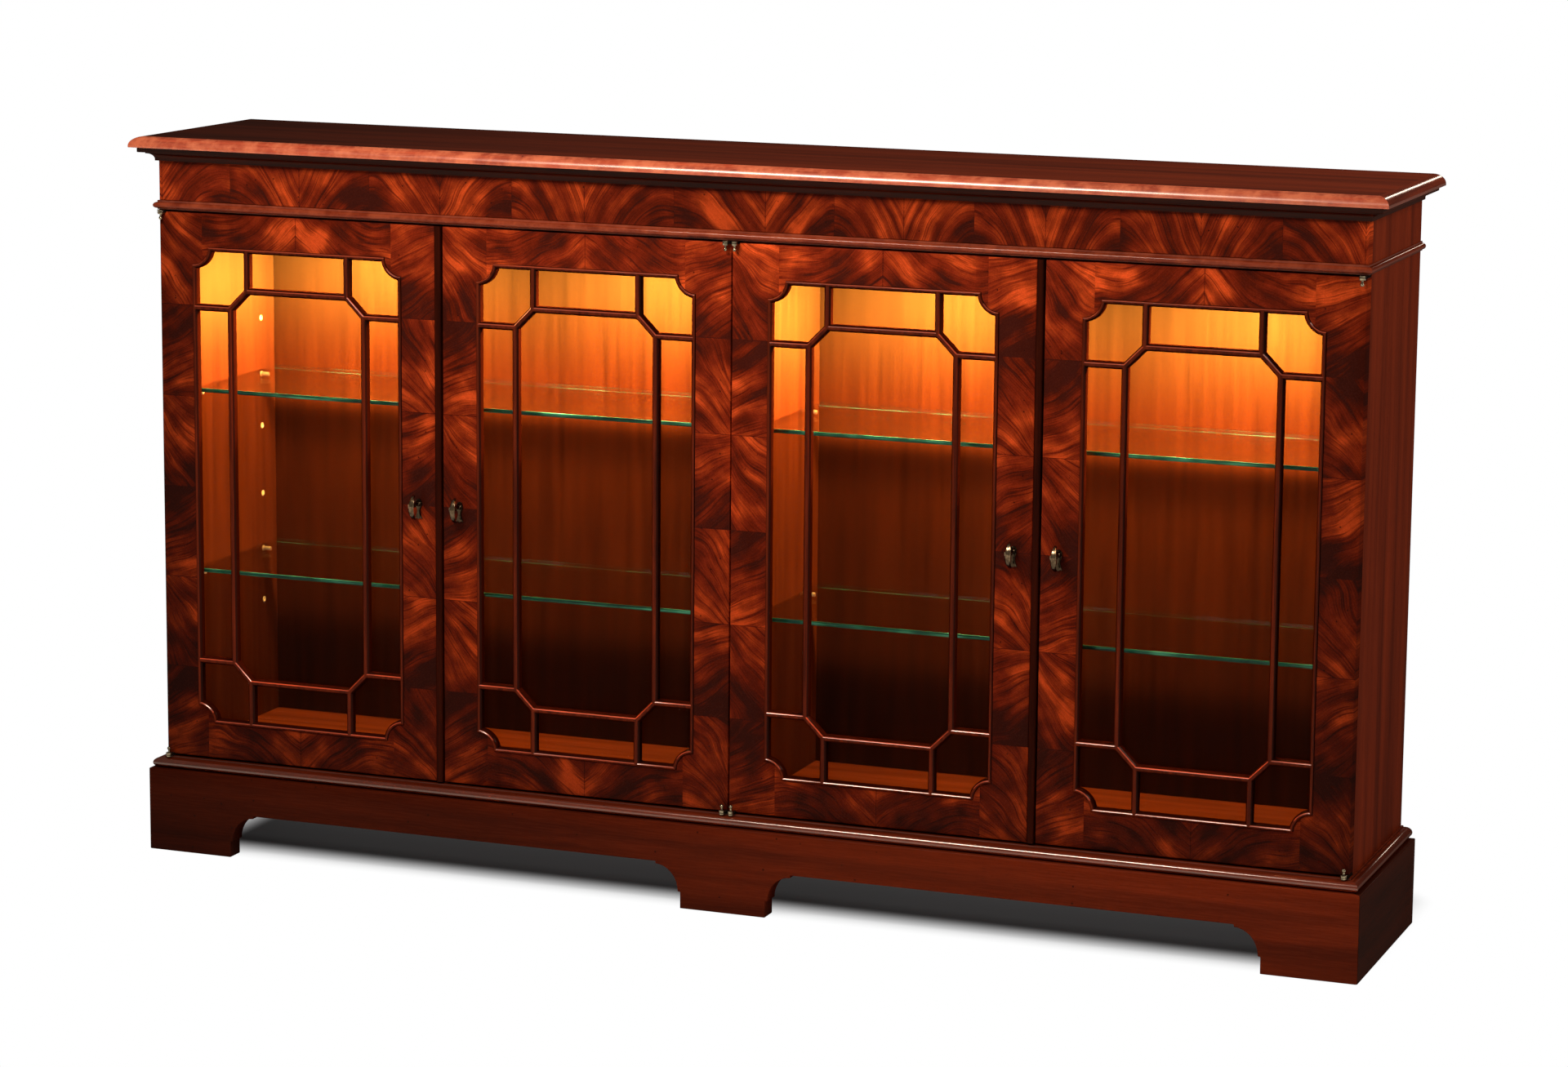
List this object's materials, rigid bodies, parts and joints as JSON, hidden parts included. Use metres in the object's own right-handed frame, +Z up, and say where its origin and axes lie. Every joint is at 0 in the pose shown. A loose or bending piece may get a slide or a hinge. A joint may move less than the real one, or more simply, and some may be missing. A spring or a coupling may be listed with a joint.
{
  "type": "display cabinet",
  "caption": "Low mahogany display cabinet with glazed lattice doors on pivot hinges, glass shelves, a moulded top and a bracket plinth.",
  "frame": {"origin": "on the floor, under the middle of the whole cabinet's width and depth", "axes": "+X along the width, to the right as seen from the front; +Y from the doors to the back; +Z up"},
  "size_m": [1.78, 0.326, 1.016],
  "materials": {
    "flame_mahogany": "figured veneer under gloss polish",
    "plain_mahogany": "straight-grained, polished",
    "dark_mahogany": "dark stained, polished, lightly distressed",
    "lattice_mahogany": "dark stained, polished",
    "inner_mahogany": "satin",
    "clear_glass": "clear, slightly green at its edges",
    "antique_brass": "aged, lightly polished",
    "light_trim": "satin"
  },
  "bodies": {
    "case": {"top_board": "plain_mahogany", "cornice_moulding": "dark_mahogany", "frieze_board": "flame_mahogany", "waist_moulding": "flame_mahogany", "side_left": "plain_mahogany", "side_right": "plain_mahogany", "centre_partition": "inner_mahogany", "bottom_panel": "inner_mahogany", "ceiling_panel": "inner_mahogany", "back_panel": "inner_mahogany", "base_moulding": "dark_mahogany", "plinth_front": "dark_mahogany", "plinth_left": "dark_mahogany", "plinth_right": "dark_mahogany", "shelf_left_lower": "clear_glass", "shelf_left_upper": "clear_glass", "shelf_right_lower": "clear_glass", "shelf_right_upper": "clear_glass", "light_1": "light_trim", "light_2": "light_trim", "light_3": "light_trim", "light_4": "light_trim", "door_1_hinge_top_case": "antique_brass", "door_1_hinge_foot_case": "antique_brass", "door_2_hinge_top_case": "antique_brass", "door_2_hinge_foot_case": "antique_brass", "door_3_hinge_top_case": "antique_brass", "door_3_hinge_foot_case": "antique_brass", "door_4_hinge_top_case": "antique_brass", "door_4_hinge_foot_case": "antique_brass"},
    "door_1": {"door_1_frame": "flame_mahogany", "door_1_lattice": "lattice_mahogany", "door_1_glass": "clear_glass", "door_1_meeting_bead": "flame_mahogany", "door_1_handle_plate": "antique_brass", "door_1_hinge_top_leaf": "antique_brass", "door_1_hinge_foot_leaf": "antique_brass"},
    "door_2": {"door_2_frame": "flame_mahogany", "door_2_lattice": "lattice_mahogany", "door_2_glass": "clear_glass", "door_2_handle_plate": "antique_brass", "door_2_hinge_top_leaf": "antique_brass", "door_2_hinge_foot_leaf": "antique_brass"},
    "door_3": {"door_3_frame": "flame_mahogany", "door_3_lattice": "lattice_mahogany", "door_3_glass": "clear_glass", "door_3_meeting_bead": "flame_mahogany", "door_3_handle_plate": "antique_brass", "door_3_hinge_top_leaf": "antique_brass", "door_3_hinge_foot_leaf": "antique_brass"},
    "door_4": {"door_4_frame": "flame_mahogany", "door_4_lattice": "lattice_mahogany", "door_4_glass": "clear_glass", "door_4_handle_plate": "antique_brass", "door_4_hinge_top_leaf": "antique_brass", "door_4_hinge_foot_leaf": "antique_brass"},
    "drop_1": {"door_1_handle_drop": "antique_brass"},
    "drop_2": {"door_2_handle_drop": "antique_brass"},
    "drop_3": {"door_3_handle_drop": "antique_brass"},
    "drop_4": {"door_4_handle_drop": "antique_brass"}
  },
  "joints": [
    {"name": "door_1_swing", "type": "hinge", "parent": "case", "child": "door_1", "pos_m": [-0.8535, -0.139, 0.524], "axis": [0, 0, -1], "range_deg": [0, 110]},
    {"name": "door_2_swing", "type": "hinge", "parent": "case", "child": "door_2", "pos_m": [-0.0065, -0.139, 0.524], "axis": [0, 0, 1], "range_deg": [0, 85]},
    {"name": "door_3_swing", "type": "hinge", "parent": "case", "child": "door_3", "pos_m": [0.0065, -0.139, 0.524], "axis": [0, 0, -1], "range_deg": [0, 85]},
    {"name": "door_4_swing", "type": "hinge", "parent": "case", "child": "door_4", "pos_m": [0.8535, -0.139, 0.524], "axis": [0, 0, 1], "range_deg": [0, 110]},
    {"name": "drop_1_swing", "type": "hinge", "parent": "door_1", "child": "drop_1", "pos_m": [-0.461, -0.152, 0.527], "axis": [-1, 0, 0], "range_deg": [0, 45]},
    {"name": "drop_2_swing", "type": "hinge", "parent": "door_2", "child": "drop_2", "pos_m": [-0.399, -0.152, 0.527], "axis": [-1, 0, 0], "range_deg": [0, 45]},
    {"name": "drop_3_swing", "type": "hinge", "parent": "door_3", "child": "drop_3", "pos_m": [0.399, -0.152, 0.527], "axis": [-1, 0, 0], "range_deg": [0, 45]},
    {"name": "drop_4_swing", "type": "hinge", "parent": "door_4", "child": "drop_4", "pos_m": [0.461, -0.152, 0.527], "axis": [-1, 0, 0], "range_deg": [0, 45]}
  ]
}
